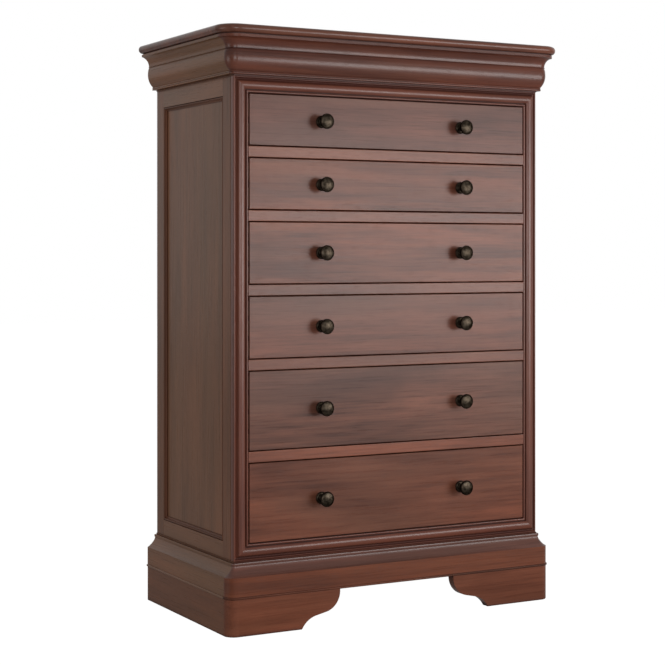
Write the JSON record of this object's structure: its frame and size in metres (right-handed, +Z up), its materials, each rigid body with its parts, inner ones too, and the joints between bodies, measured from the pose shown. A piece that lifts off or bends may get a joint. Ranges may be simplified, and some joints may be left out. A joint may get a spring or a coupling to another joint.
{
  "type": "chest of drawers",
  "caption": "Tall chest of drawers in dark mahogany with framed panel sides, moulded cornice and base, bracket feet and turned bronze knobs.",
  "frame": {"origin": "on the floor, under the middle of the bounding box", "axes": "+X to the right seen from the front, +Y to the back, +Z up; the drawers open toward -Y"},
  "size_m": [0.836, 0.444, 1.235],
  "materials": {
    "front_mahogany": "satin lacquer, reddish brown",
    "side_mahogany": "satin lacquer, greyish brown",
    "drawer_wood": "plain waxed poplar",
    "frame_wood": "plain sawn pine",
    "back_wood": "stained board",
    "bronze": "dark antique bronze, satin"
  },
  "bodies": {
    "casing": {"back_panel": "back_wood", "base_back_rail": "frame_wood", "base_moulding_front": "front_mahogany", "base_moulding_left": "side_mahogany", "base_moulding_right": "side_mahogany", "bottom_board": "frame_wood", "cornice_front": "front_mahogany", "cornice_left": "side_mahogany", "cornice_right": "side_mahogany", "cross_rails": "frame_wood", "drawer_rails": "front_mahogany", "drawer_runners": "frame_wood", "drawer_stops": "frame_wood", "foot_blocks": "frame_wood", "foot_front_left": "front_mahogany", "foot_front_right": "front_mahogany", "foot_side_left": "side_mahogany", "foot_side_right": "side_mahogany", "frame_moulding_bottom": "front_mahogany", "frame_moulding_left": "front_mahogany", "frame_moulding_right": "front_mahogany", "frame_moulding_top": "front_mahogany", "front_boards": "frame_wood", "side_left_frame": "side_mahogany", "side_left_panel": "side_mahogany", "side_left_panel_moulding": "side_mahogany", "side_right_frame": "side_mahogany", "side_right_panel": "side_mahogany", "side_right_panel_moulding": "side_mahogany", "top_board": "front_mahogany"},
    "drawer_1": {"drawer_1_back": "drawer_wood", "drawer_1_bottom": "drawer_wood", "drawer_1_front": "front_mahogany", "drawer_1_knobs": "bronze", "drawer_1_sides": "drawer_wood"},
    "drawer_2": {"drawer_2_back": "drawer_wood", "drawer_2_bottom": "drawer_wood", "drawer_2_front": "front_mahogany", "drawer_2_knobs": "bronze", "drawer_2_sides": "drawer_wood"},
    "drawer_3": {"drawer_3_back": "drawer_wood", "drawer_3_bottom": "drawer_wood", "drawer_3_front": "front_mahogany", "drawer_3_knobs": "bronze", "drawer_3_sides": "drawer_wood"},
    "drawer_4": {"drawer_4_back": "drawer_wood", "drawer_4_bottom": "drawer_wood", "drawer_4_front": "front_mahogany", "drawer_4_knobs": "bronze", "drawer_4_sides": "drawer_wood"},
    "drawer_5": {"drawer_5_back": "drawer_wood", "drawer_5_bottom": "drawer_wood", "drawer_5_front": "front_mahogany", "drawer_5_knobs": "bronze", "drawer_5_sides": "drawer_wood"},
    "drawer_6": {"drawer_6_back": "drawer_wood", "drawer_6_bottom": "drawer_wood", "drawer_6_front": "front_mahogany", "drawer_6_knobs": "bronze", "drawer_6_sides": "drawer_wood"}
  },
  "joints": [
    {"name": "drawer_1_slide", "type": "slide", "parent": "casing", "child": "drawer_1", "axis": [0, -1, 0], "range_m": [0, 0.28]},
    {"name": "drawer_2_slide", "type": "slide", "parent": "casing", "child": "drawer_2", "axis": [0, -1, 0], "range_m": [0, 0.28]},
    {"name": "drawer_3_slide", "type": "slide", "parent": "casing", "child": "drawer_3", "axis": [0, -1, 0], "range_m": [0, 0.28]},
    {"name": "drawer_4_slide", "type": "slide", "parent": "casing", "child": "drawer_4", "axis": [0, -1, 0], "range_m": [0, 0.28]},
    {"name": "drawer_5_slide", "type": "slide", "parent": "casing", "child": "drawer_5", "axis": [0, -1, 0], "range_m": [0, 0.28]},
    {"name": "drawer_6_slide", "type": "slide", "parent": "casing", "child": "drawer_6", "axis": [0, -1, 0], "range_m": [0, 0.28]}
  ]
}
